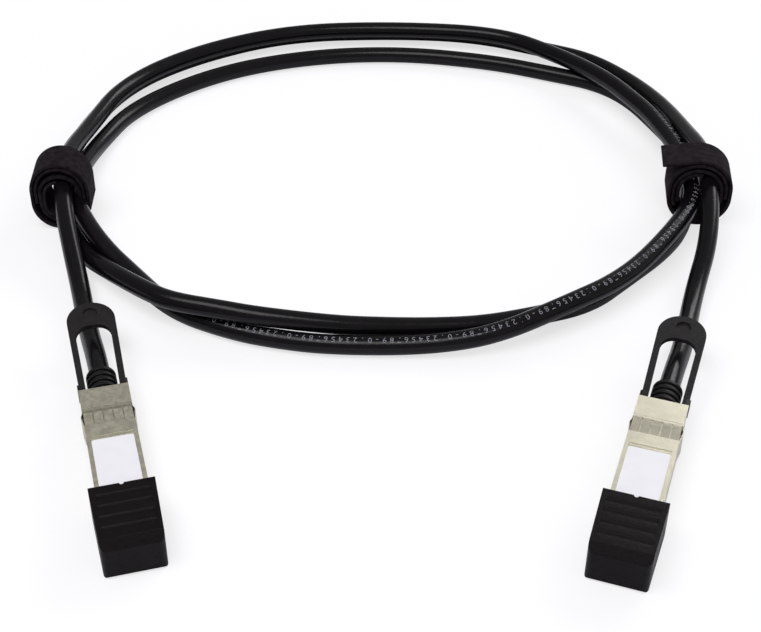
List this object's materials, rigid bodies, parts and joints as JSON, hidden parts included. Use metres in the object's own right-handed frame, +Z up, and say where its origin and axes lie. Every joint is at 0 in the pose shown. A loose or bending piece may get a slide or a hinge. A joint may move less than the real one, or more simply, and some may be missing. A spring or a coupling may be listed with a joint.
{
  "type": "direct attach copper cable",
  "caption": "Twin axial copper cable assembly coiled with hook and loop ties, a metal pluggable connector with pull tab and dust cap at each end",
  "frame": {"origin": "midway between the two plugs, under the middle of the box round the plugs, caps and tabs, on the surface the object lies on", "axes": "+X across, from the left plug to the right one; +Y from the dust caps towards the coil; +Z up"},
  "size_m": [0.2253, 0.2857, 0.024],
  "materials": {
    "cast_nickel": "satin",
    "spring_plate": "satin",
    "spring_wire": "satin",
    "tab_plastic": "matte",
    "boot_rubber": "matte",
    "ferrule_brass": "satin",
    "screw_steel": "satin",
    "card_laminate": "gloss",
    "gold_pads": "gloss",
    "chip_resin": "matte",
    "capacitor_ceramic": "matte",
    "label_film": "satin",
    "cap_rubber": "matte",
    "pair_foil": "satin",
    "jacket": "gloss",
    "strap_weave": "matte"
  },
  "bodies": {
    "root": {"cable_coil": "jacket", "cable_lead_left": "jacket", "cable_lead_right": "jacket", "capacitors_left": "capacitor_ceramic", "capacitors_right": "capacitor_ceramic", "contact_pads_left": "gold_pads", "contact_pads_right": "gold_pads", "cover_screws_left": "screw_steel", "cover_screws_right": "screw_steel", "crimp_ferrule_left": "ferrule_brass", "crimp_ferrule_right": "ferrule_brass", "label_left": "label_film", "label_right": "label_film", "latch_springs_left": "spring_wire", "latch_springs_right": "spring_wire", "lower_shell_left": "cast_nickel", "lower_shell_right": "cast_nickel", "memory_chip_left": "chip_resin", "memory_chip_right": "chip_resin", "paddle_card_left": "card_laminate", "paddle_card_right": "card_laminate", "receive_pair_left": "pair_foil", "receive_pair_right": "pair_foil", "shield_collar_left": "spring_plate", "shield_collar_right": "spring_plate", "strain_relief_left": "boot_rubber", "strain_relief_right": "boot_rubber", "tie_left": "strap_weave", "tie_right": "strap_weave", "transmit_pair_left": "pair_foil", "transmit_pair_right": "pair_foil", "upper_shell_left": "cast_nickel", "upper_shell_right": "cast_nickel"},
    "cap_left": {"dust_cap_left": "cap_rubber"},
    "cap_right": {"dust_cap_right": "cap_rubber"},
    "latch_left": {"pull_tab_left": "tab_plastic", "latch_slider_left": "spring_plate"},
    "latch_right": {"pull_tab_right": "tab_plastic", "latch_slider_right": "spring_plate"}
  },
  "joints": [
    {"name": "cap_pull_left", "type": "slide", "parent": "root", "child": "cap_left", "axis": [0.2924, -0.9563, 0], "range_m": [0, 0.03]},
    {"name": "latch_pull_left", "type": "slide", "parent": "root", "child": "latch_left", "axis": [-0.2924, 0.9563, 0], "range_m": [0, 0.0025], "stiffness_N_per_m": 400, "springref_m": -0.001, "deforming": ["latch_springs_left"]},
    {"name": "cap_pull_right", "type": "slide", "parent": "root", "child": "cap_right", "axis": [-0.2924, -0.9563, 0], "range_m": [0, 0.03]},
    {"name": "latch_pull_right", "type": "slide", "parent": "root", "child": "latch_right", "axis": [0.2924, 0.9563, 0], "range_m": [0, 0.0025], "stiffness_N_per_m": 400, "springref_m": -0.001, "deforming": ["latch_springs_right"]}
  ]
}
